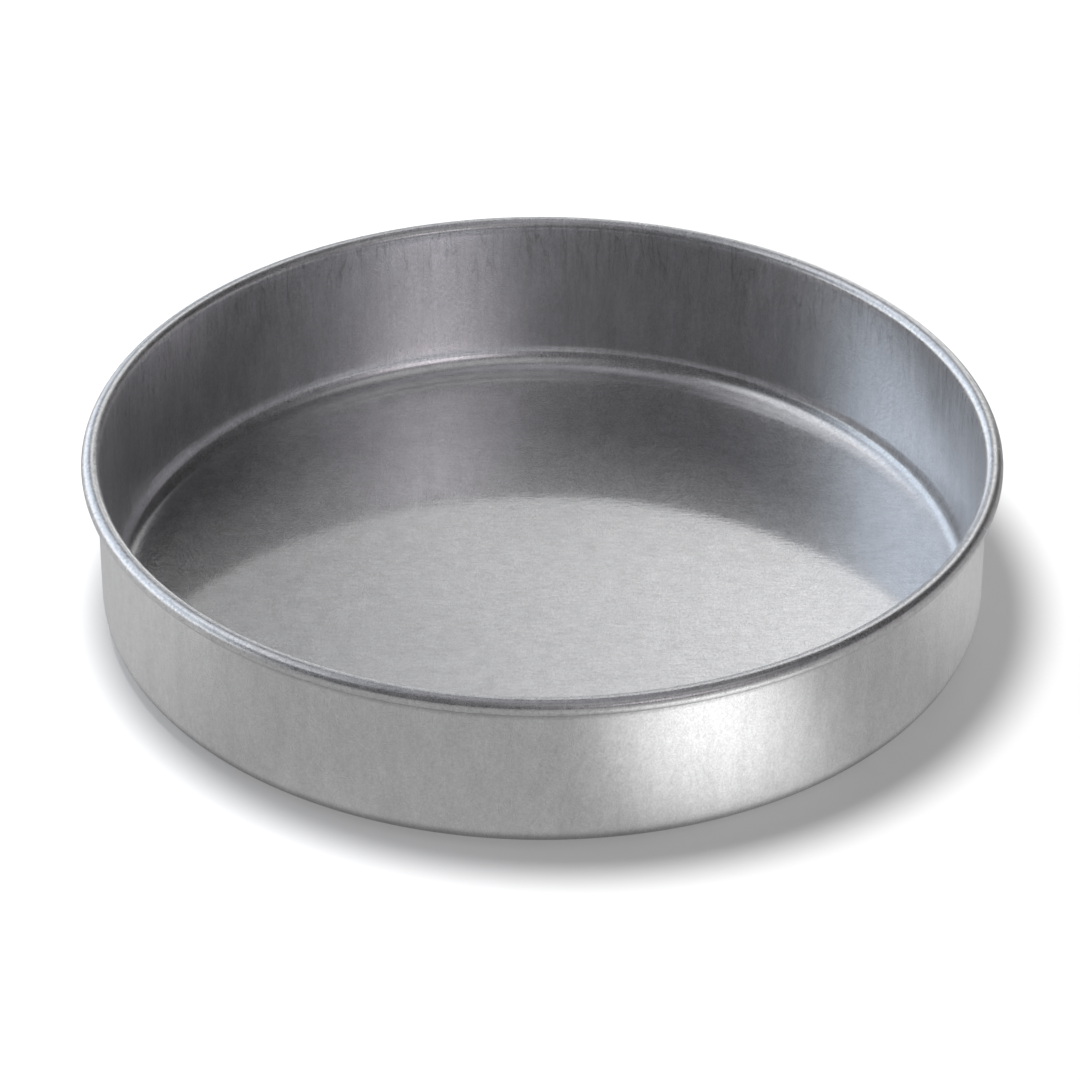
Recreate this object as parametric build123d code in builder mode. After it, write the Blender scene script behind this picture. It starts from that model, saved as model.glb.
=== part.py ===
"""Round cake tin: one drawn steel sheet whose rim is rolled over a ring of wire.

Millimetres. Z is up along the tin's axis, and the origin is the centre of the underside.
"""

from build123d import *
import math
import os

# Driving dimensions of the drawn sheet
inside_diameter = 254.0
inside_depth = 51.0
sheet_thickness = 1.0
inner_corner_radius = 7.5

# Driving dimensions of the wired rim
wire_diameter = 3.2
wire_clearance = 0.02
cut_edge_gap = 0.15
wire_butt_gap = 1.0

# Radii and heights that follow for the sheet
wall_inner_radius = inside_diameter / 2
wall_outer_radius = wall_inner_radius + sheet_thickness
outer_corner_radius = inner_corner_radius + sheet_thickness
flat_radius = wall_inner_radius - inner_corner_radius
rim_height = inside_depth + sheet_thickness

# The curl goes round the wire, and the wall's outside touches the same bore
wire_radius = wire_diameter / 2
curl_bore_radius = wire_radius + wire_clearance
curl_outer_radius = curl_bore_radius + sheet_thickness
curl_centre_radius = wall_outer_radius + curl_bore_radius
curl_centre_height = rim_height - curl_outer_radius

# Angles in the section: the curl starts at the wall, goes over the top and
# tucks under until the sheet's cut edge is one gap away from the wall
curl_start_angle = 180
tuck_angle = math.degrees(math.asin((curl_bore_radius - cut_edge_gap) / curl_outer_radius))
curl_sweep_angle = -(270 + tuck_angle)

# The wire's two ends face each other across the butt gap, at the back
wire_gap_angle = math.degrees(wire_butt_gap / curl_centre_radius)

os.makedirs("parts", exist_ok=True)

# The pan: flat floor, rounded corner, straight wall and open curl as one sheet
with BuildPart() as pan_shell:
    with BuildSketch(Plane.XZ) as shell_section:
        with BuildLine() as shell_outline:
            underside = Line((0, 0), (flat_radius, 0))
            outer_corner = CenterArc((flat_radius, outer_corner_radius), outer_corner_radius, 270, 90)
            outer_wall = Line(outer_corner @ 1, (wall_outer_radius, curl_centre_height))
            curl_bore = CenterArc(
                (curl_centre_radius, curl_centre_height),
                curl_bore_radius,
                curl_start_angle,
                curl_sweep_angle,
            )
            curl_outside = CenterArc(
                (curl_centre_radius, curl_centre_height),
                curl_outer_radius,
                curl_start_angle,
                curl_sweep_angle,
            )
            cut_edge = Line(curl_bore @ 1, curl_outside @ 1)
            inner_wall = Line(
                curl_outside @ 0, (wall_inner_radius, sheet_thickness + inner_corner_radius)
            )
            inner_corner = CenterArc(
                (flat_radius, sheet_thickness + inner_corner_radius), inner_corner_radius, 270, 90
            )
            floor_top = Line(inner_corner @ 0, (0, sheet_thickness))
            axis_line = Line(floor_top @ 1, underside @ 0)
        make_face()
    revolve(axis=Axis.Z)
pan_shell.part.label = "pan_shell"
export_step(pan_shell.part, "parts/pan_shell.step")

# The reinforcing wire: a ring of round wire, enclosed by the curl
with BuildPart() as rim_wire:
    with BuildSketch(Plane.YZ) as wire_section:
        with Locations((curl_centre_radius, curl_centre_height)):
            Circle(wire_radius)
    revolve(axis=Axis.Z, revolution_arc=360 - wire_gap_angle)
rim_wire.part.label = "rim_wire"
export_step(rim_wire.part, "parts/rim_wire.step")
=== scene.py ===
import math

import bmesh
import bpy
from bpy.props import FloatProperty, FloatVectorProperty, IntProperty, PointerProperty
from mathutils import Matrix, Vector


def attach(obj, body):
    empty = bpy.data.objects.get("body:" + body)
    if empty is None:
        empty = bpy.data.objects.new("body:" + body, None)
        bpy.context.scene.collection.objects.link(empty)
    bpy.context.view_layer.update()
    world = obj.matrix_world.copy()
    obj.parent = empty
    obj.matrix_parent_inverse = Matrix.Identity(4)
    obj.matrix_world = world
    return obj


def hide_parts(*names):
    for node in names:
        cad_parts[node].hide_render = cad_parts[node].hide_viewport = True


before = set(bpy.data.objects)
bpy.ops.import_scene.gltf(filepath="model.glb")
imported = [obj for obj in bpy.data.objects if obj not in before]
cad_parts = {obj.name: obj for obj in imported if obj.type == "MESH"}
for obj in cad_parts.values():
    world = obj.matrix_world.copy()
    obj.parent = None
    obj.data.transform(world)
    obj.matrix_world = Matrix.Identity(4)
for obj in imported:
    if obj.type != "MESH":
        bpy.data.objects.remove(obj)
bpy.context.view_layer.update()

bl_info = {
    "name": "Round cake tin",
    "version": (1, 0, 0),
    "blender": (4, 5, 0),
    "location": "View3D > Sidebar > Cake tin",
    "description": "Dresses a drawn aluminised-steel cake tin with a wired rim, on a pale studio table",
    "category": "Object",
}


# Colours and nodes


def srgb(code):
    """Turns an sRGB hex colour such as "#C0C0C0" to the linear values that Blender's colours hold."""
    channels = [int(code[i:i + 2], 16) / 255 for i in (1, 3, 5)]
    return tuple(c / 12.92 if c <= 0.04045 else ((c + 0.055) / 1.055) ** 2.4 for c in channels)


def add_node(tree, kind, *inputs, **settings):
    """Adds a node, sets its settings, then links or sets its inputs, each given as (socket, source or value)."""
    node = tree.nodes.new(kind)
    for name, value in settings.items():
        setattr(node, name, value)
    for socket, source in inputs:
        if isinstance(source, bpy.types.NodeSocket):
            tree.links.new(source, node.inputs[socket])
        else:
            node.inputs[socket].default_value = source
    return node


def clear_tree(owner):
    """Turns on the nodes of a material or a world, takes away those it starts with, and gives its tree."""
    owner.use_nodes = True
    owner.node_tree.nodes.clear()
    return owner.node_tree


# Sizes and colours that a user may change


class PanSheetSizes(bpy.types.PropertyGroup):
    inside_diameter: FloatProperty(
        name="Inside diameter", description="Across the inside of the straight wall",
        default=0.254, min=0.05, unit="LENGTH")
    inside_depth: FloatProperty(
        name="Inside depth", description="From the floor's top to the top of the rim",
        default=0.051, min=0.01, unit="LENGTH")
    sheet_thickness: FloatProperty(
        name="Sheet thickness", description="Thickness of the drawn steel sheet",
        default=0.001, min=0.0003, unit="LENGTH")
    inner_corner_radius: FloatProperty(
        name="Inner corner radius", description="Radius between the floor and the wall, on the inside",
        default=0.0075, min=0.002, unit="LENGTH")
    wire_diameter: FloatProperty(
        name="Wire diameter", description="Wire that the rim is rolled over",
        default=0.0032, min=0.001, unit="LENGTH")
    wire_clearance: FloatProperty(
        name="Wire clearance", description="Space between the wire and the curl's bore",
        default=0.00002, min=0.0, unit="LENGTH")
    cut_edge_gap: FloatProperty(
        name="Cut edge gap", description="Space between the tucked cut edge and the wall",
        default=0.00015, min=0.0, unit="LENGTH")
    pucker_depth: FloatProperty(
        name="Pucker depth", description="How far the drawn wall ripples in or out near the rim",
        default=0.000025, min=0.0, unit="LENGTH")
    pucker_width: FloatProperty(
        name="Pucker width", description="Usual distance between two ripples round the rim",
        default=0.007, min=0.002, unit="LENGTH")
    pucker_reach: FloatProperty(
        name="Pucker reach", description="How far below the rim the ripples die out",
        default=0.016, min=0.001, unit="LENGTH")
    steps_round: IntProperty(
        name="Steps round", description="Number of faces round the tin", default=640, min=64, max=720)


class FinishColours(bpy.types.PropertyGroup):
    coating: FloatVectorProperty(
        name="Coating", description="Aluminium and silicon coating of the sheet",
        subtype="COLOR", size=3, min=0, max=1, default=srgb("#E8E8E9"))
    wire: FloatVectorProperty(
        name="Wire", description="Drawn steel wire inside the curl",
        subtype="COLOR", size=3, min=0, max=1, default=srgb("#A9A8A6"))


class StageSettings(bpy.types.PropertyGroup):
    table: FloatVectorProperty(
        name="Table", description="Pale table top",
        subtype="COLOR", size=3, min=0, max=1, default=srgb("#CCCCCC"))
    table_glow: FloatProperty(
        name="Table glow", description="White added to the table where the camera sees it",
        default=0.21, min=0, max=1)
    table_in_metal: FloatProperty(
        name="Table in the metal", description="How bright the table looks in the metal",
        default=0.41, min=0, max=1)
    room: FloatProperty(
        name="Room", description="Strength of the even light from all round",
        default=0.01, min=0)


# The drawn sheet

# Faces along each stretch of the section
STEPS = {"flat": 3, "outer corner": 12, "wall": 12, "bore": 26, "half edge": 6, "curl": 36, "inner corner": 14}

# Points closer than this are one, in metres
MERGE_DISTANCE = 1e-6

# Picks the ripples round the rim
PUCKER_SEED = 7


def on_circle(centre, radius, angle):
    """A point on a circle in the section plane, its angle in radians."""
    return (centre[0] + radius * math.cos(angle), centre[1] + radius * math.sin(angle))


def arc(centre, radius, start, end, steps):
    """Points along an arc in the section plane, angles in degrees, without the first point."""
    return [
        on_circle(centre, radius, math.radians(start + (end - start) * i / steps)) for i in range(1, steps + 1)
    ]


def run(start, end, steps):
    """Points along a straight run in the section plane, without the first point."""
    return [
        (start[0] + (end[0] - start[0]) * i / steps, start[1] + (end[1] - start[1]) * i / steps)
        for i in range(1, steps + 1)
    ]


def pan_section(sizes):
    """The sheet's section as (radius, height) points, from the underside's centre round to the floor's centre."""
    thickness = sizes.sheet_thickness
    wall_inside = sizes.inside_diameter / 2
    wall_outside = wall_inside + thickness
    corner_inside = sizes.inner_corner_radius
    corner_outside = corner_inside + thickness
    flat = wall_inside - corner_inside
    bore = sizes.wire_diameter / 2 + sizes.wire_clearance
    curl = bore + thickness
    curl_centre = (wall_outside + bore, sizes.inside_depth + thickness - curl)
    # The curl goes three quarters of the way round the wire, then on until its edge lies next to the wall
    tuck = math.degrees(math.asin((bore - sizes.cut_edge_gap) / curl))
    end = -90 - tuck

    # The cut edge is rounded over half its thickness, as a sheared and rolled edge is
    middle = (bore + curl) / 2
    rounding = math.degrees(thickness / 2 / middle)
    stop = end + rounding
    half_edge = STEPS["half edge"]
    cut_edge = []
    for step in range(1 - half_edge, half_edge):
        swing = math.radians(90 * step / half_edge)
        angle = math.radians(stop - rounding * math.cos(swing))
        cut_edge.append(on_circle(curl_centre, middle + thickness / 2 * math.sin(swing), angle))

    points = [(0.0, 0.0)]
    points += run((0.0, 0.0), (flat, 0.0), STEPS["flat"])
    points += arc((flat, corner_outside), corner_outside, -90, 0, STEPS["outer corner"])
    points += run((wall_outside, corner_outside), (wall_outside, curl_centre[1]), STEPS["wall"])
    points += arc(curl_centre, bore, 180, stop, STEPS["bore"])
    points += cut_edge
    points.append(on_circle(curl_centre, curl, math.radians(stop)))
    points += arc(curl_centre, curl, stop, 180, STEPS["curl"])
    points += run((wall_inside, curl_centre[1]), (wall_inside, corner_outside), STEPS["wall"])
    points += arc((flat, corner_outside), corner_inside, 0, -90, STEPS["inner corner"])
    points += run((flat, thickness), (0.0, thickness), STEPS["flat"])
    return points


def spin_tree():
    """Geometry nodes that spin a section round Z, ripple it near the rim, and close it into one skin."""
    tree = bpy.data.node_groups.new("Spin drawn sheet", "GeometryNodeTree")
    face = tree.interface
    face.new_socket("Geometry", in_out="OUTPUT", socket_type="NodeSocketGeometry")
    face.new_socket("Geometry", in_out="INPUT", socket_type="NodeSocketGeometry")
    for name, kind in (
        ("Steps Round", "NodeSocketInt"),
        ("Rim Height", "NodeSocketFloat"),
        ("Rim Radius", "NodeSocketFloat"),
        ("Pucker Depth", "NodeSocketFloat"),
        ("Pucker Width", "NodeSocketFloat"),
        ("Pucker Reach", "NodeSocketFloat"),
        ("Seed", "NodeSocketInt"),
        ("Material", "NodeSocketMaterial"),
    ):
        face.new_socket(name, in_out="INPUT", socket_type=kind)
    given = add_node(tree, "NodeGroupInput").outputs

    # A grid with one row for each section point and one column for each step round
    count = add_node(tree, "GeometryNodeAttributeDomainSize", ("Geometry", given["Geometry"]), component="MESH")
    columns = add_node(tree, "ShaderNodeMath", (0, given["Steps Round"]), (1, 1.0), operation="ADD")
    grid = add_node(
        tree, "GeometryNodeMeshGrid", ("Vertices X", count.outputs["Point Count"]),
        ("Vertices Y", columns.outputs[0]))
    index = add_node(tree, "GeometryNodeInputIndex")
    share = add_node(tree, "ShaderNodeMath", (0, index.outputs[0]), (1, columns.outputs[0]), operation="DIVIDE")
    row = add_node(tree, "ShaderNodeMath", (0, share.outputs[0]), operation="FLOOR")
    step = add_node(tree, "ShaderNodeMath", (0, index.outputs[0]), (1, columns.outputs[0]), operation="MODULO")
    position = add_node(tree, "GeometryNodeInputPosition")
    section = add_node(
        tree, "GeometryNodeSampleIndex", ("Geometry", given["Geometry"]), ("Value", position.outputs[0]),
        ("Index", row.outputs[0]), data_type="FLOAT_VECTOR", domain="POINT")
    turn = add_node(tree, "ShaderNodeMath", (0, step.outputs[0]), (1, given["Steps Round"]), operation="DIVIDE")
    wrapped = add_node(tree, "ShaderNodeMath", (0, turn.outputs[0]), operation="FRACT")
    angle = add_node(tree, "ShaderNodeMath", (0, wrapped.outputs[0]), (1, 2 * math.pi), operation="MULTIPLY")

    # Ripples left by the drawing, strongest at the rim and the same on both faces. The noise stays mostly
    # between 0.25 and 0.75, which is made to run from -1 to 1
    cosine = add_node(tree, "ShaderNodeMath", (0, angle.outputs[0]), operation="COSINE")
    sine = add_node(tree, "ShaderNodeMath", (0, angle.outputs[0]), operation="SINE")
    circle = add_node(tree, "ShaderNodeCombineXYZ", ("X", cosine.outputs[0]), ("Y", sine.outputs[0]))
    spacing = add_node(
        tree, "ShaderNodeMath", (0, given["Rim Radius"]), (1, given["Pucker Width"]), operation="DIVIDE")
    spread = add_node(
        tree, "ShaderNodeVectorMath", (0, circle.outputs[0]), ("Scale", spacing.outputs[0]), operation="SCALE")
    noise = add_node(
        tree, "ShaderNodeTexNoise", ("Vector", spread.outputs[0]), ("W", given["Seed"]), ("Scale", 1.0),
        ("Detail", 1.0), noise_dimensions="4D")
    swell = add_node(
        tree, "ShaderNodeMapRange", ("Value", noise.outputs[0]), ("From Min", 0.25), ("From Max", 0.75),
        ("To Min", -1.0), ("To Max", 1.0), clamp=False)
    height = add_node(tree, "ShaderNodeSeparateXYZ", (0, section.outputs[0]))
    foot = add_node(
        tree, "ShaderNodeMath", (0, given["Rim Height"]), (1, given["Pucker Reach"]), operation="SUBTRACT")
    fade = add_node(
        tree, "ShaderNodeMapRange", ("Value", height.outputs["Z"]), ("From Min", foot.outputs[0]),
        ("From Max", given["Rim Height"]), interpolation_type="SMOOTHSTEP")
    ripple = add_node(tree, "ShaderNodeMath", (0, swell.outputs[0]), (1, fade.outputs[0]), operation="MULTIPLY")
    shift = add_node(tree, "ShaderNodeMath", (0, ripple.outputs[0]), (1, given["Pucker Depth"]), operation="MULTIPLY")
    outward = add_node(tree, "ShaderNodeCombineXYZ", ("X", shift.outputs[0]))
    moved = add_node(tree, "ShaderNodeVectorMath", (0, section.outputs[0]), (1, outward.outputs[0]), operation="ADD")

    spun = add_node(
        tree, "ShaderNodeVectorRotate", ("Vector", moved.outputs[0]), ("Angle", angle.outputs[0]),
        rotation_type="Z_AXIS")
    placed = add_node(
        tree, "GeometryNodeSetPosition", ("Geometry", grid.outputs["Mesh"]), ("Position", spun.outputs[0]))
    closed = add_node(
        tree, "GeometryNodeMergeByDistance", ("Geometry", placed.outputs[0]),
        ("Distance", MERGE_DISTANCE))
    smooth = add_node(tree, "GeometryNodeSetShadeSmooth", ("Geometry", closed.outputs[0]))
    real = add_node(tree, "GeometryNodeRealizeInstances", ("Geometry", smooth.outputs[0]))
    coated = add_node(
        tree, "GeometryNodeSetMaterial", ("Geometry", real.outputs[0]), ("Material", given["Material"]))
    add_node(tree, "NodeGroupOutput", ("Geometry", coated.outputs[0]))
    return tree


def plain_mesh(piece, name):
    """Turns what the piece's modifiers give into its own plain closed mesh, with its faces outwards."""
    bpy.context.view_layer.update()
    shaped = bpy.data.meshes.new_from_object(piece.evaluated_get(bpy.context.evaluated_depsgraph_get()))
    piece.modifiers.clear()
    piece.data = shaped
    shaped.name = name
    # The grid starts with an empty slot before the material's own
    for slot in reversed(range(len(shaped.materials))):
        if shaped.materials[slot] is None:
            shaped.materials.pop(index=slot)
    skin = bmesh.new()
    skin.from_mesh(shaped)
    bmesh.ops.remove_doubles(skin, verts=skin.verts, dist=MERGE_DISTANCE)
    bmesh.ops.recalc_face_normals(skin, faces=skin.faces)
    open_edges = sum(1 for edge in skin.edges if not edge.is_manifold)
    skin.to_mesh(shaped)
    skin.free()
    if open_edges:
        raise RuntimeError(f"{name} has {open_edges} open edges")


# Materials


# Where the sheet's finish changes. A zone is none at its first value and full at its second, in metres of radius, of
# height, or of distance from the wire's own circle inside the rim
WIRE_CIRCLE = (0.12962, 0.04938, 0.0)
ZONES = {
    "near the floor": ("height", 0.0055, 0.0015, "SMOOTHSTEP"),
    # Full inside the wall, half on its inner face and none on its outer face
    "inside": ("radius", 0.1274, 0.1266, "LINEAR"),
    "outside": ("radius", 0.1274, 0.1276, "LINEAR"),
    "past the flat": ("radius", 0.1170, 0.1205, "SMOOTHSTEP"),
    "below the wall": ("height", 0.0100, 0.0070, "SMOOTHSTEP"),
    "upper wall": ("height", 0.022, 0.046, "SMOOTHSTEP"),
    "rim": ("from the wire", 0.0031, 0.0027, "LINEAR"),
    # The two zones below make the band under the rim that is painted darker, as painted shade
    "under the rim": ("height", 0.0482, 0.0472, "LINEAR"),
    "close to the rim": ("height", 0.0436, 0.0456, "LINEAR"),
}

# Zones where several of those meet: the flat bottom, the rounded corner inside, and the band on the outer wall just
# under the rim, which is painted darker as painted shade
SHARED_ZONES = {
    "bottom": ("near the floor", "inside"),
    "corner": ("past the flat", "below the wall", "inside"),
    "shaded crease": ("under the rim", "close to the rim", "outside"),
}

# Patterns in the coating: their size along X, Y and Z in metres, then the noise's detail and roughness
PATTERNS = {
    # Mill grain along X, a little coarser than the real one so that it shows
    "mill grain": ((0.004, 0.0007, 0.0007), 2.0, 0.5),
    # Draw marks up the inside of the wall, left by the punch
    "draw marks": ((0.0009, 0.0009, 0.014), 3.0, 0.55),
    # Mottling on the outside, where no punch rubbed it: specks that gather in clusters
    "mottling": ((0.0012, 0.0012, 0.0022), 3.0, 0.6),
    # The coating's own crystals
    "crystals": ((0.0006, 0.0006, 0.0006), 1.0, 0.5),
    # Cloudy patches where the coating is thicker, drawn out up the wall
    "clouds": ((0.006, 0.006, 0.016), 3.0, 0.6),
    # Galling by the die, which gives the scratches and the rubbed streaks
    "galling": ((0.0033, 0.0033, 0.03), 1.5, 0.5),
    # Nicks and rubbed spots on the rim
    "wear": ((0.0009, 0.0009, 0.0009), 2.0, 0.6),
    # Smooth and frosted crystals side by side, too fine to tell apart
    "frost": ((0.00012, 0.00012, 0.00012), 0.0, 0.5),
    # Shallow wrinkles of the whole sheet, which fray the edges of what it mirrors
    "wrinkles": ((0.0012, 0.0012, 0.0012), 0.0, 0.5),
}

# How the galling wavers on its way down: over which length and by how much, in metres
WAVER_LENGTH, WAVER_WIDTH = 0.004, 0.0012

# Thin dark scratches, 0.3 mm wide and 3 mm apart, lie where the galling pattern passes the first level, and soft
# streaks that are rubbed bright where it passes the second: level, then half width in the pattern's own values
GALLED_STREAKS = ((0.5, 0.030), (0.36, 0.045))

# Rolling lines along the rim, in metres
ROLLED_LENGTH, ROLLED_WIDTH = 0.04, 0.00035

# The relief's unit, in metres
RELIEF_UNIT = 0.000004


def aluminised_steel(colours):
    """Aluminised steel, drawn: grey, half-dull metal with rolling grain, draw marks and small scuffs."""
    material = bpy.data.materials.new("Aluminised steel, cold-drawn")
    tree = clear_tree(material)
    place = add_node(tree, "ShaderNodeTexCoord").outputs["Object"]
    height = add_node(tree, "ShaderNodeSeparateXYZ", (0, place)).outputs["Z"]
    level = add_node(tree, "ShaderNodeVectorMath", (0, place), (1, (1.0, 1.0, 0.0)), operation="MULTIPLY")
    radius = add_node(tree, "ShaderNodeVectorMath", (0, level.outputs[0]), operation="LENGTH").outputs["Value"]
    section = add_node(tree, "ShaderNodeCombineXYZ", ("X", radius), ("Y", height))
    from_wire = add_node(
        tree, "ShaderNodeVectorMath", (0, section.outputs[0]), (1, WIRE_CIRCLE), operation="DISTANCE")
    measures = {"radius": radius, "height": height, "from the wire": from_wire.outputs["Value"]}

    # The flat bottom keeps the mill's finish, and the wall is drawn over a punch, so each has its own grain. The
    # rounded corner's finish lies between theirs
    zones = {}
    for name, (measure, none_at, full_at, blend) in ZONES.items():
        zones[name] = add_node(
            tree, "ShaderNodeMapRange", ("Value", measures[measure]), ("From Min", none_at), ("From Max", full_at),
            interpolation_type=blend).outputs[0]
    for name, (first, *others) in SHARED_ZONES.items():
        zones[name] = zones[first]
        for other in others:
            zones[name] = add_node(
                tree, "ShaderNodeMath", (0, zones[name]), (1, zones[other]), operation="MULTIPLY").outputs[0]
    inner_wall = add_node(
        tree, "ShaderNodeMath", (0, zones["inside"]), (1, zones["bottom"]), operation="SUBTRACT").outputs[0]

    waver = add_node(tree, "ShaderNodeTexNoise", ("Vector", place), ("Scale", 1 / WAVER_LENGTH), ("Detail", 1.0))
    waver = add_node(
        tree, "ShaderNodeVectorMath", (0, waver.outputs["Color"]), ("Scale", WAVER_WIDTH), operation="SCALE")
    wavered = add_node(tree, "ShaderNodeVectorMath", (0, place), (1, waver.outputs[0]), operation="ADD").outputs[0]
    patterns = {}
    for name, (lengths, detail, roughness) in PATTERNS.items():
        start = wavered if name == "galling" else place
        fitted = add_node(
            tree, "ShaderNodeMapping", ("Vector", start), ("Scale", tuple(1 / length for length in lengths)))
        patterns[name] = add_node(
            tree, "ShaderNodeTexNoise", ("Vector", fitted.outputs[0]), ("Scale", 1.0), ("Detail", detail),
            ("Roughness", roughness)).outputs[0]
    walls = add_node(
        tree, "ShaderNodeMix", (0, zones["inside"]), (2, patterns["mottling"]), (3, patterns["draw marks"]),
        data_type="FLOAT")
    grain = add_node(
        tree, "ShaderNodeMix", (0, zones["bottom"]), (2, walls.outputs[0]), (3, patterns["mill grain"]),
        data_type="FLOAT").outputs[0]

    streaks = []
    for passed, half_width in GALLED_STREAKS:
        off = add_node(tree, "ShaderNodeMath", (0, patterns["galling"]), (1, passed), operation="SUBTRACT")
        near = add_node(tree, "ShaderNodeMath", (0, off.outputs[0]), operation="ABSOLUTE")
        streak = add_node(
            tree, "ShaderNodeMapRange", ("Value", near.outputs[0]), ("From Min", half_width), ("From Max", 0.0),
            interpolation_type="SMOOTHSTEP").outputs[0]
        for zone in ("upper wall", "inside"):
            streak = add_node(
                tree, "ShaderNodeMath", (0, streak), (1, zones[zone]), operation="MULTIPLY").outputs[0]
        streaks.append(streak)
    scratches, rubbed = streaks

    # The rolling lines run round the tin, so they are narrow in radius and height and long in X and Y
    along = add_node(
        tree, "ShaderNodeVectorMath", (0, place), (1, (1 / ROLLED_LENGTH, 1 / ROLLED_LENGTH, 0.0)),
        operation="MULTIPLY")
    along = add_node(tree, "ShaderNodeSeparateXYZ", (0, along.outputs[0]))
    across = add_node(tree, "ShaderNodeMath", (0, radius), (1, 1 / ROLLED_WIDTH), operation="MULTIPLY")
    upwards = add_node(tree, "ShaderNodeMath", (0, height), (1, 1 / ROLLED_WIDTH), operation="MULTIPLY")
    rolled_place = add_node(
        tree, "ShaderNodeCombineXYZ", ("X", across.outputs[0]), ("Y", upwards.outputs[0]), ("Z", along.outputs["X"]))
    rolling = add_node(
        tree, "ShaderNodeTexNoise", ("Vector", rolled_place.outputs[0]), ("W", along.outputs["Y"]), ("Scale", 1.0),
        ("Detail", 1.0), noise_dimensions="4D")

    # What swings both ways from a middle tone
    swings = []
    for pattern in (grain, patterns["crystals"], patterns["clouds"], rolling.outputs[0]):
        swings.append(add_node(tree, "ShaderNodeMath", (0, pattern), (1, 0.5), operation="SUBTRACT").outputs[0])
    grain_swing, speck, patch, rolled = swings
    rolled = add_node(tree, "ShaderNodeMath", (0, rolled), (1, zones["rim"]), operation="MULTIPLY").outputs[0]
    worn = add_node(
        tree, "ShaderNodeMapRange", ("Value", patterns["wear"]), ("From Min", 0.52), ("From Max", 0.64))
    worn = add_node(
        tree, "ShaderNodeMath", (0, worn.outputs[0]), (1, zones["rim"]), operation="MULTIPLY").outputs[0]

    # The grain shows most on the inner wall and least on the rim
    contrast = 0.30
    for zone, amount in ((inner_wall, 0.35), (zones["rim"], -0.15)):
        contrast = add_node(
            tree, "ShaderNodeMath", (0, zone), (1, amount), (2, contrast), operation="MULTIPLY_ADD").outputs[0]

    # Tone: 1 where the coating is plain, and each pattern's share added to it. The band under the rim is painted
    # darker as well, as painted shade
    tone = 1.0
    for pattern, amount in (
        (grain_swing, contrast),
        (speck, 0.35),
        (patch, 0.30),
        (scratches, -0.42),
        (rubbed, 0.22),
        (rolled, 0.30),
        (worn, -0.16),
        # Painted shade: the band on the outer wall just under the rim is darkened
        (zones["shaded crease"], -0.45),
    ):
        tone = add_node(
            tree, "ShaderNodeMath", (0, pattern), (1, amount), (2, tone), operation="MULTIPLY_ADD").outputs[0]
    colour = add_node(tree, "ShaderNodeVectorMath", (0, colours.coating), ("Scale", tone), operation="SCALE")

    # Dullness: the smooth crystals mirror, best on the bottom, and the frosted ones give the haze round each
    # reflection. More of them are frosted on the bottom, in the corner and on the rim
    frost_from = 0.52
    for zone, amount in ((zones["bottom"], -0.035), (zones["rim"], -0.04), (zones["corner"], -0.05)):
        frost_from = add_node(
            tree, "ShaderNodeMath", (0, zone), (1, amount), (2, frost_from), operation="MULTIPLY_ADD").outputs[0]
    frosted = add_node(tree, "ShaderNodeMath", (0, patterns["frost"]), (1, frost_from), operation="SUBTRACT")
    frosted = add_node(
        tree, "ShaderNodeMapRange", ("Value", frosted.outputs[0]), ("From Min", 0.0), ("From Max", 0.03))
    smooth = 0.23
    for zone, roughness in ((zones["bottom"], 0.07), (zones["corner"], 0.16), (zones["rim"], 0.26)):
        smooth = add_node(
            tree, "ShaderNodeMix", (0, zone), (2, smooth), (3, roughness), data_type="FLOAT").outputs[0]
    # The rim is worn and rolled dull all over
    rough = add_node(
        tree, "ShaderNodeMath", (0, zones["rim"]), (1, 0.12), (2, 0.45), operation="MULTIPLY_ADD")
    dull = add_node(
        tree, "ShaderNodeMix", (0, frosted.outputs[0]), (2, smooth), (3, rough.outputs[0]), data_type="FLOAT")
    dull = add_node(
        tree, "ShaderNodeMath", (0, patch), (1, 0.10), (2, dull.outputs[0]), operation="MULTIPLY_ADD")

    # Relief: the grain stands about 2 microns high, more on the bottom and less on the rim, the scratches are cut
    # 4 microns deep, and the wrinkles are about 2 microns high
    depth = 1.0
    for zone, amount in ((zones["bottom"], 1.5), (zones["rim"], -0.6)):
        depth = add_node(
            tree, "ShaderNodeMath", (0, zone), (1, amount), (2, depth), operation="MULTIPLY_ADD").outputs[0]
    relief = 0.0
    for pattern, amount in ((grain, depth), (scratches, -1.0), (patterns["wrinkles"], 1.3), (rolled, 1.5)):
        relief = add_node(
            tree, "ShaderNodeMath", (0, pattern), (1, amount), (2, relief), operation="MULTIPLY_ADD").outputs[0]
    bumps = add_node(tree, "ShaderNodeBump", ("Height", relief), ("Strength", 1.0), ("Distance", RELIEF_UNIT))
    surface = add_node(
        tree, "ShaderNodeBsdfPrincipled", ("Base Color", colour.outputs[0]), ("Metallic", 1.0),
        ("Roughness", dull.outputs[0]), ("Normal", bumps.outputs[0]))
    add_node(tree, "ShaderNodeOutputMaterial", ("Surface", surface.outputs[0]))
    return material


def steel_wire(colours):
    """Steel wire, drawn: darker than the sheet and evenly half-dull, with fine marks."""
    material = bpy.data.materials.new("Steel wire, drawn")
    tree = clear_tree(material)
    place = add_node(tree, "ShaderNodeTexCoord").outputs["Object"]
    # Marks 1.1 mm across, 900 to the metre
    marks = add_node(tree, "ShaderNodeTexNoise", ("Vector", place), ("Scale", 900.0), ("Detail", 3.0))
    roughness = add_node(
        tree, "ShaderNodeMapRange", ("Value", marks.outputs[0]), ("To Min", 0.28), ("To Max", 0.5))
    surface = add_node(
        tree, "ShaderNodeBsdfPrincipled", ("Base Color", (*colours.wire, 1.0)), ("Metallic", 1.0),
        ("Roughness", roughness.outputs[0]))
    add_node(tree, "ShaderNodeOutputMaterial", ("Surface", surface.outputs[0]))
    return material
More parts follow.
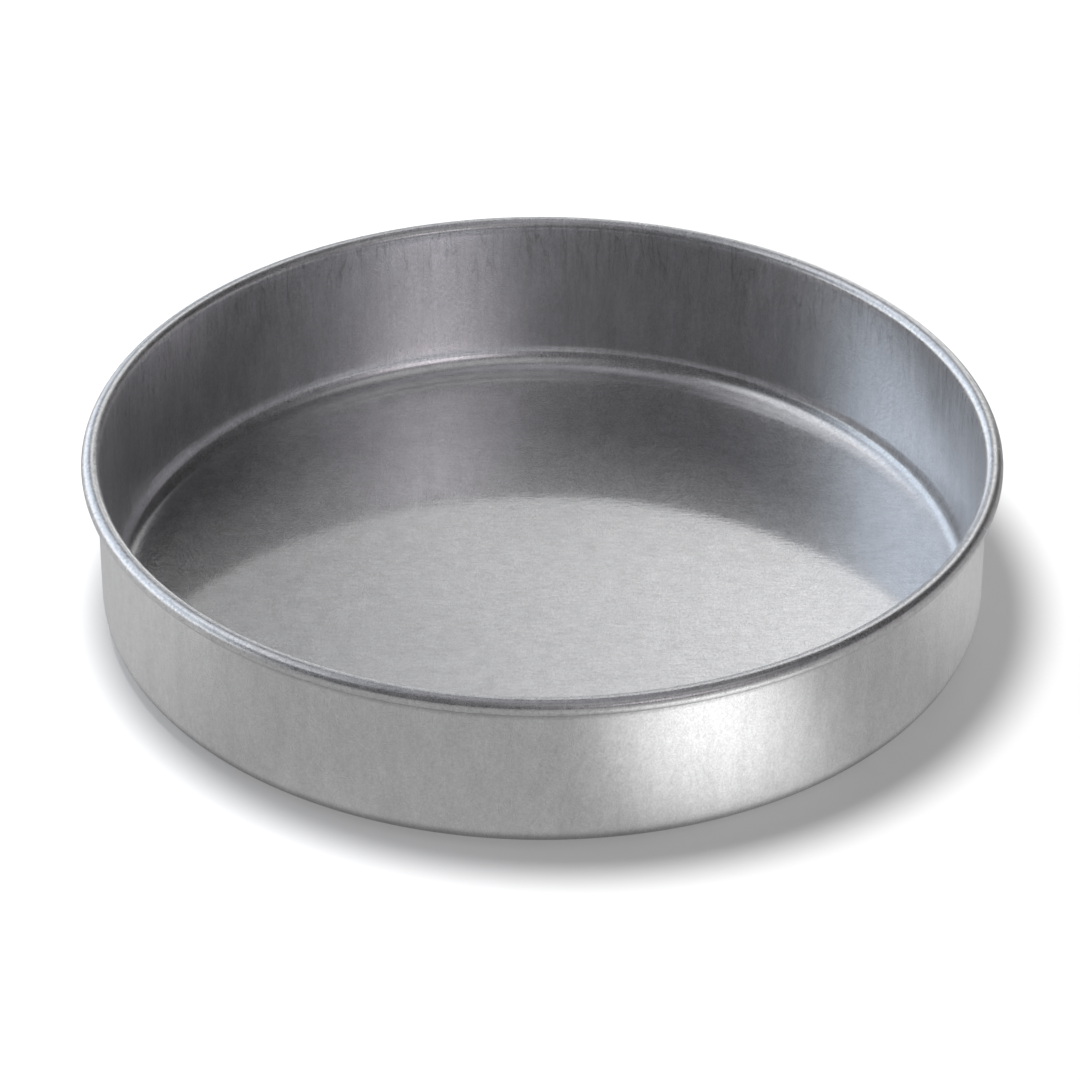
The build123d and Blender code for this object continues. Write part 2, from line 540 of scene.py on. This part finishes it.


# Painted pools of light: glowing patches on the table beside the tin, seen only in the metal, where they paint bright
# reflections on the tin's outer wall: centre, then where each is full and where it ends, in metres, then strength
PAINTED_LIGHT_PATCHES = {
    "Front right": (0.090, -0.168, 0.005, 0.082, 1.12),
    "Left": (-0.190, -0.020, 0.030, 0.130, 0.17),
    "Right": (0.175, 0.0, 0.020, 0.080, 0.22),
}

# Distances from the tin's middle, in metres: the table turns plain white between the first two, and the painted
# shadow where the tin stands, seen only in the metal, ends between the second two. Then the share of light left there
WHITE_FROM, WHITE_AT = 0.30, 0.60
FOOT_FROM, FOOT_TO = 0.125, 0.132
PAINTED_SHADOW_UNDER_TIN = 0.40


def studio_table(stage):
    """Matt white table: a pale top that takes the tin's soft shadow, and shows in the metal as a pale level with
    painted pools of light and a painted shadow round the tin's foot.
    """
    material = bpy.data.materials.new("Table, matt white")
    tree = clear_tree(material)
    path = add_node(tree, "ShaderNodeLightPath").outputs
    place = add_node(tree, "ShaderNodeTexCoord").outputs["Object"]
    middle = add_node(tree, "ShaderNodeVectorMath", (0, place), operation="LENGTH")
    # Far from the tin the table is plain white from every side, also where the lamp no longer reaches
    white = add_node(
        tree, "ShaderNodeMapRange", ("Value", middle.outputs["Value"]), ("From Min", WHITE_FROM),
        ("From Max", WHITE_AT), ("To Min", stage.table_glow), ("To Max", 1.0), interpolation_type="SMOOTHSTEP")
    strength = add_node(
        tree, "ShaderNodeMath", (0, path["Is Camera Ray"]), (1, white.outputs[0]), operation="MULTIPLY")
    matt = add_node(tree, "ShaderNodeBsdfDiffuse", ("Color", (*stage.table, 1.0)))
    glow = add_node(tree, "ShaderNodeEmission", ("Color", (1.0, 1.0, 1.0, 1.0)), ("Strength", strength.outputs[0]))
    both = add_node(tree, "ShaderNodeAddShader", (0, matt.outputs[0]), (1, glow.outputs[0]))

    # What the metal shows: an even level, the painted pools of light, and a painted shadow where the tin stands
    level = stage.table_in_metal
    # Painted light: each patch adds glow that the metal mirrors as a highlight
    for x, y, full, end, light_patch_strength in PAINTED_LIGHT_PATCHES.values():
        away = add_node(tree, "ShaderNodeVectorMath", (0, place), (1, (x, y, 0.0)), operation="DISTANCE")
        patch = add_node(
            tree, "ShaderNodeMapRange", ("Value", away.outputs["Value"]), ("From Min", end), ("From Max", full),
            ("To Min", 0.0), ("To Max", light_patch_strength), interpolation_type="SMOOTHSTEP")
        level = add_node(tree, "ShaderNodeMath", (0, level), (1, patch.outputs[0]), operation="ADD").outputs[0]
    # Painted shadow: the level that the metal shows is darkened round the tin's foot
    clear = add_node(
        tree, "ShaderNodeMapRange", ("Value", middle.outputs["Value"]), ("From Min", FOOT_FROM),
        ("From Max", FOOT_TO), ("To Min", PAINTED_SHADOW_UNDER_TIN), ("To Max", 1.0), interpolation_type="SMOOTHSTEP")
    level = add_node(tree, "ShaderNodeMath", (0, level), (1, clear.outputs[0]), operation="MULTIPLY")
    mirrored = add_node(
        tree, "ShaderNodeEmission", ("Color", (1.0, 1.0, 1.0, 1.0)), ("Strength", level.outputs[0]))
    in_metal = add_node(
        tree, "ShaderNodeMath", (0, path["Is Glossy Ray"]), (1, path["Is Transmission Ray"]), operation="MAXIMUM")
    seen = add_node(
        tree, "ShaderNodeMixShader", (0, in_metal.outputs[0]), (1, both.outputs[0]), (2, mirrored.outputs[0]))
    add_node(tree, "ShaderNodeOutputMaterial", ("Surface", seen.outputs[0]))
    return material


# Soft panels round the studio: middle azimuth from the camera's side towards the right, half width, softness of
# the sides, lowest and highest elevation, softness of those edges, all in degrees, then strength and tint
PANELS = {
    "Left strip": (-116, 46, 16, 0, 16, 5, 1.6, "#FCFDFF"),
    "Left softbox": (-127, 40, 14, 15, 31, 4, 1.48, "#E2EFFF"),
    "Left softbox, upper edge": (-127, 30, 14, 31, 47, 5, 0.69, "#E2EFFF"),
    "Upper left softbox": (-108, 42, 16, 43, 62, 6, 1.2, "#FAFBFF"),
    "Back strip": (168, 12, 12, 0, 14, 4, 2.0, "#FFFFFF"),
    "Back softbox": (166, 14, 11, 23, 54, 3, 1.42, "#FFFFFF"),
    "Front right softbox": (28, 13, 16, 14, 30, 4, 1.55, "#FFF8FE"),
    "Right glow": (58, 15, 28, 20, 46, 8, 0.12, "#F8F4FF"),
    "Front glow": (0, 55, 25, 12, 46, 5, 0.06, "#F6F2FF"),
    "Upper right softbox": (30, 42, 20, 42, 64, 6, 0.45, "#FFFFFF"),
    "Right strip": (95, 35, 15, 0, 16, 5, 0.40, "#FFFAFD"),
    "Ceiling": (0, 180, 1, 64, 90, 5, 0.12, "#F6F4FF"),
    "Overhead softbox": (0, 180, 1, 74, 95, 5, 0.24, "#F6F4FF"),
}

# How far the table's level blends into the room's at the horizon, in radians
HORIZON = 0.03


def studio_room(stage):
    """The room's even light, its soft panels, and the pale table below the horizon as the metal shows it."""
    room = bpy.data.worlds.new("Studio room")
    tree = clear_tree(room)
    way = add_node(tree, "ShaderNodeTexCoord").outputs["Object"]
    rise = add_node(tree, "ShaderNodeSeparateXYZ", (0, way)).outputs["Z"]
    elevation = add_node(tree, "ShaderNodeMath", (0, rise), operation="ARCSINE").outputs[0]
    flat = add_node(tree, "ShaderNodeVectorMath", (0, way), (1, (1.0, 1.0, 0.0)), operation="MULTIPLY")
    heading = add_node(tree, "ShaderNodeVectorMath", (0, flat.outputs[0]), operation="NORMALIZE").outputs[0]

    level = add_node(
        tree, "ShaderNodeMapRange", ("Value", elevation), ("From Min", -HORIZON), ("From Max", HORIZON),
        ("To Min", stage.table_in_metal), ("To Max", stage.room))
    light = add_node(
        tree, "ShaderNodeVectorMath", (0, (1.0, 1.0, 1.0)), ("Scale", level.outputs[0]), operation="SCALE").outputs[0]
    for middle, half, side, low, high, edge, strength, tint in PANELS.values():
        centre = (math.sin(math.radians(middle)), -math.cos(math.radians(middle)), 0.0)
        cosine = add_node(tree, "ShaderNodeVectorMath", (0, heading), (1, centre), operation="DOT_PRODUCT")
        away = add_node(tree, "ShaderNodeMath", (0, cosine.outputs["Value"]), operation="ARCCOSINE")
        share = strength
        for angle, none_at, full_at in (
            (away.outputs[0], half + side, half - side),
            (elevation, low - edge, low + edge),
            (elevation, high + edge, high - edge),
        ):
            blend = add_node(
                tree, "ShaderNodeMapRange", ("Value", angle), ("From Min", math.radians(none_at)),
                ("From Max", math.radians(full_at)), interpolation_type="SMOOTHSTEP")
            share = add_node(
                tree, "ShaderNodeMath", (0, share), (1, blend.outputs[0]), operation="MULTIPLY").outputs[0]
        panel = add_node(tree, "ShaderNodeVectorMath", (0, srgb(tint)), ("Scale", share), operation="SCALE")
        light = add_node(tree, "ShaderNodeVectorMath", (0, light), (1, panel.outputs[0]), operation="ADD").outputs[0]

    # The camera sees plain white past the table's edge
    around = add_node(tree, "ShaderNodeBackground", ("Color", light))
    white = add_node(tree, "ShaderNodeBackground", ("Color", (1.0, 1.0, 1.0, 1.0)), ("Strength", 1.0))
    path = add_node(tree, "ShaderNodeLightPath")
    seen = add_node(
        tree, "ShaderNodeMixShader", (0, path.outputs["Is Camera Ray"]), (1, around.outputs[0]),
        (2, white.outputs[0]))
    add_node(tree, "ShaderNodeOutputWorld", ("Surface", seen.outputs[0]))
    return room


# The table's half width, and the lamp over it, which stands above the left, in metres and watts
TABLE_HALF = 6.0
LAMP_PLACE = (-0.155, 0.044, 1.15)
LAMP_WIDTH, LAMP_DEPTH = 0.40, 0.39
LAMP_ENERGY = 17.0

# The camera stands where the photograph was taken, in metres, and is turned as it was, in degrees. Its focal length
# is in pixels of the photograph, and its sensor is in mm
CAMERA_DISTANCE, CAMERA_ELEVATION = 1.45, 33.066
CAMERA_RISE = 0.020
CAMERA_PITCH, CAMERA_YAW, CAMERA_ROLL = 33.141, -0.028, 0.081
FOCAL_PIXELS, PHOTO_PIXELS = 4986.5, 1080
SENSOR_WIDTH = 36.0


# Operators


class CAKETIN_OT_pan_sheet(bpy.types.Operator):
    """Spins the drawn sheet with its rolled rim, in place of the plain CAD shell"""

    bl_idname = "cake_tin.pan_sheet"
    bl_label = "Make the drawn sheet"

    def execute(self, context):
        sizes = context.scene.pan_sheet_sizes
        points = pan_section(sizes)
        line = bpy.data.meshes.new("Pan section")
        line.from_pydata(
            [(radius, 0.0, height) for radius, height in points], [(i, i + 1) for i in range(len(points) - 1)], [])
        piece = bpy.data.objects.new("pan_sheet", line)
        context.scene.collection.objects.link(piece)

        tree = spin_tree()
        spin = piece.modifiers.new("Spin", "NODES")
        spin.node_group = tree
        given = {
            "Steps Round": sizes.steps_round,
            "Rim Height": sizes.inside_depth + sizes.sheet_thickness,
            "Rim Radius": sizes.inside_diameter / 2,
            "Pucker Depth": sizes.pucker_depth,
            "Pucker Width": sizes.pucker_width,
            "Pucker Reach": sizes.pucker_reach,
            "Seed": PUCKER_SEED,
            "Material": aluminised_steel(context.scene.finish_colours),
        }
        for socket in tree.interface.items_tree:
            if socket.in_out == "INPUT" and socket.name in given:
                spin[socket.identifier] = given[socket.name]
        plain_mesh(piece, "Pan sheet")

        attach(piece, "root")
        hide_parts("pan_shell")
        return {"FINISHED"}


class CAKETIN_OT_rim_wire(bpy.types.Operator):
    """Gives the wire inside the rim its drawn-steel finish"""

    bl_idname = "cake_tin.rim_wire"
    bl_label = "Finish the rim wire"

    def execute(self, context):
        finish = steel_wire(context.scene.finish_colours)
        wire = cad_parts["rim_wire"]
        for slot in wire.material_slots:
            slot.material = finish
        if not wire.material_slots:
            raise RuntimeError("the rim wire has no material slot")
        return {"FINISHED"}


class CAKETIN_OT_stage(bpy.types.Operator):
    """Sets the pale table, the soft lights and the camera"""

    bl_idname = "cake_tin.stage"
    bl_label = "Set the stage"

    def execute(self, context):
        scene = context.scene
        stage = scene.stage_settings

        top = bpy.data.meshes.new("Table top")
        corners = [(x * TABLE_HALF, y * TABLE_HALF, 0) for x, y in ((-1, -1), (1, -1), (1, 1), (-1, 1))]
        top.from_pydata(corners, [], [(0, 1, 2, 3)])
        table = bpy.data.objects.new("Table", top)
        top.materials.append(studio_table(stage))
        scene.collection.objects.link(table)

        scene.world = studio_room(stage)

        # A soft lamp lights only the table and draws the tin's shadow on it
        lamp = bpy.data.lights.new("Table lamp", "AREA")
        lamp.shape = "ELLIPSE"
        lamp.size, lamp.size_y = LAMP_WIDTH, LAMP_DEPTH
        lamp.energy = LAMP_ENERGY
        key = bpy.data.objects.new("Table lamp", lamp)
        key.location = LAMP_PLACE
        scene.collection.objects.link(key)
        lit = bpy.data.collections.new("Lit by the table lamp")
        lit.objects.link(table)
        key.light_linking.receiver_collection = lit

        lens = bpy.data.cameras.new("Camera")
        lens.sensor_width = SENSOR_WIDTH
        lens.lens = FOCAL_PIXELS / PHOTO_PIXELS * lens.sensor_width
        lens.clip_start, lens.clip_end = 0.01, 50.0
        camera = bpy.data.objects.new("Camera", lens)
        elevation = math.radians(CAMERA_ELEVATION)
        stand = Vector(
            (0.0, -CAMERA_DISTANCE * math.cos(elevation), CAMERA_DISTANCE * math.sin(elevation) + CAMERA_RISE))
        camera.matrix_world = (
            Matrix.Translation(stand)
            @ Matrix.Rotation(-math.radians(CAMERA_YAW), 4, "Z")
            @ Matrix.Rotation(math.pi / 2 - math.radians(CAMERA_PITCH), 4, "X")
            @ Matrix.Rotation(math.radians(CAMERA_ROLL), 4, "Z")
        )
        scene.collection.objects.link(camera)
        scene.camera = camera
        scene.view_settings.view_transform = "Standard"
        return {"FINISHED"}


class CAKETIN_PT_panel(bpy.types.Panel):
    bl_idname = "CAKETIN_PT_panel"
    bl_label = "Cake tin"
    bl_space_type = "VIEW_3D"
    bl_region_type = "UI"
    bl_category = "Cake tin"

    def draw(self, context):
        scene = context.scene
        for title, group, operator in (
            ("Drawn sheet", scene.pan_sheet_sizes, "cake_tin.pan_sheet"),
            ("Finishes", scene.finish_colours, "cake_tin.rim_wire"),
            ("Stage", scene.stage_settings, "cake_tin.stage"),
        ):
            box = self.layout.box()
            box.label(text=title)
            for name in group.__annotations__:
                box.prop(group, name)
            box.operator(operator)


CLASSES = (
    PanSheetSizes,
    FinishColours,
    StageSettings,
    CAKETIN_OT_pan_sheet,
    CAKETIN_OT_rim_wire,
    CAKETIN_OT_stage,
    CAKETIN_PT_panel,
)


def register():
    for cls in CLASSES:
        bpy.utils.register_class(cls)
    bpy.types.Scene.pan_sheet_sizes = PointerProperty(type=PanSheetSizes)
    bpy.types.Scene.finish_colours = PointerProperty(type=FinishColours)
    bpy.types.Scene.stage_settings = PointerProperty(type=StageSettings)


def unregister():
    del bpy.types.Scene.stage_settings
    del bpy.types.Scene.finish_colours
    del bpy.types.Scene.pan_sheet_sizes
    for cls in reversed(CLASSES):
        bpy.utils.unregister_class(cls)


def main():
    register()
    bpy.ops.cake_tin.pan_sheet()
    bpy.ops.cake_tin.rim_wire()
    bpy.ops.cake_tin.stage()


if __name__ == "__main__":
    main()
